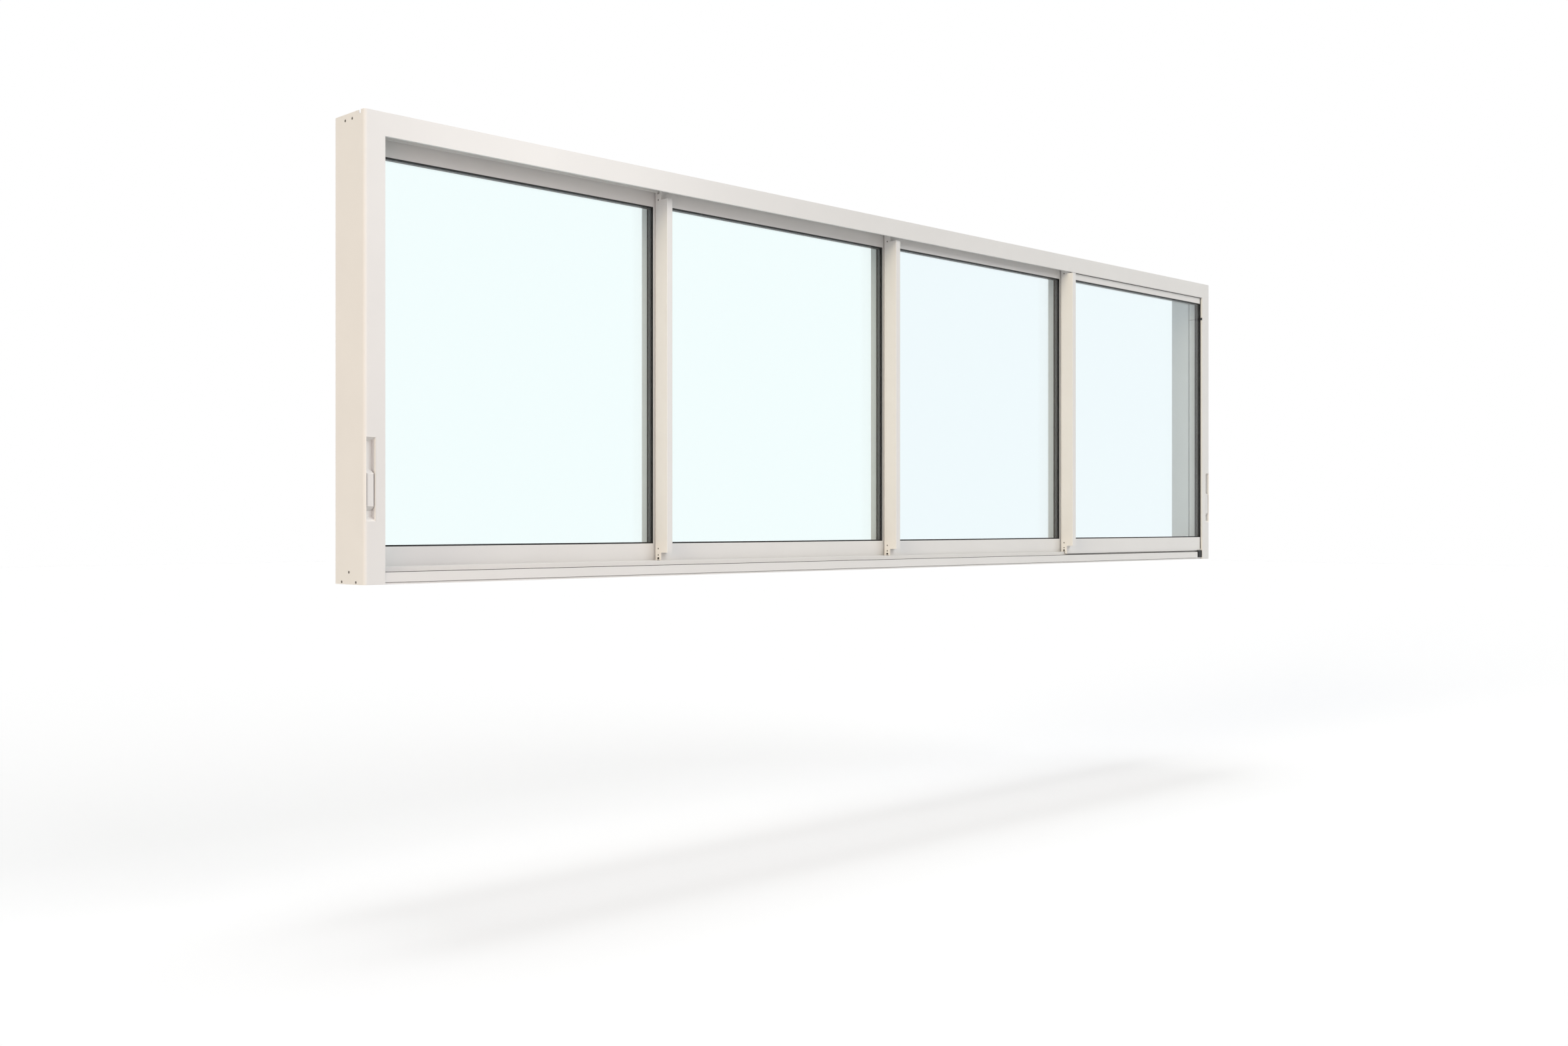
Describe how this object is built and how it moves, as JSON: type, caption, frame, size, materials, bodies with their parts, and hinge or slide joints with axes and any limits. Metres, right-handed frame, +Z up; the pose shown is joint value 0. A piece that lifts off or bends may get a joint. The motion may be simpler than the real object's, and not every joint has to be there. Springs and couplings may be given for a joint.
{
  "type": "horizontal sliding window",
  "caption": "Wide white aluminium window whose glazed sashes stand on stepped tracks and slide sideways to stack behind one another.",
  "frame": {"origin": "middle of the flat underside of the sill, at half the frame's width and half its depth", "axes": "+X along the window to the right as seen from the front, +Y from the front to the back, +Z up"},
  "size_m": [3.446, 0.146, 1],
  "materials": {
    "powder_coat": "satin white powder coat",
    "latch_coat": "satin white powder coat",
    "gasket_rubber": "matt black",
    "spacer_bar": "dark grey anodised",
    "glass": "clear float glass",
    "roller_plastic": "moulded, matt"
  },
  "bodies": {
    "root": {"head": "powder_coat", "sill": "powder_coat", "sill_front_lip": "powder_coat", "left_jamb": "powder_coat", "left_latch_case": "latch_coat", "left_latch_slide": "latch_coat", "right_jamb": "powder_coat", "right_latch_case": "latch_coat", "right_latch_slide": "latch_coat", "left_jamb_filler": "powder_coat", "right_jamb_filler": "powder_coat", "sill_end_plug": "gasket_rubber", "sash_1_left_stile": "powder_coat", "sash_1_right_stile": "powder_coat", "sash_1_top_rail": "powder_coat", "sash_1_bottom_rail": "powder_coat", "sash_1_gasket": "gasket_rubber", "sash_1_spacer": "spacer_bar", "sash_1_glass": "glass", "sash_1_rollers": "roller_plastic", "sash_2_left_stile": "powder_coat", "sash_2_right_stile": "powder_coat", "sash_2_top_rail": "powder_coat", "sash_2_bottom_rail": "powder_coat", "sash_2_gasket": "gasket_rubber", "sash_2_spacer": "spacer_bar", "sash_2_glass": "glass", "sash_2_rollers": "roller_plastic", "sash_3_left_stile": "powder_coat", "sash_3_right_stile": "powder_coat", "sash_3_top_rail": "powder_coat", "sash_3_bottom_rail": "powder_coat", "sash_3_gasket": "gasket_rubber", "sash_3_spacer": "spacer_bar", "sash_3_glass": "glass", "sash_3_rollers": "roller_plastic", "sash_4_left_stile": "powder_coat", "sash_4_right_stile": "powder_coat", "sash_4_top_rail": "powder_coat", "sash_4_bottom_rail": "powder_coat", "sash_4_gasket": "gasket_rubber", "sash_4_spacer": "spacer_bar", "sash_4_glass": "glass", "sash_4_rollers": "roller_plastic"}
  },
  "joints": []
}
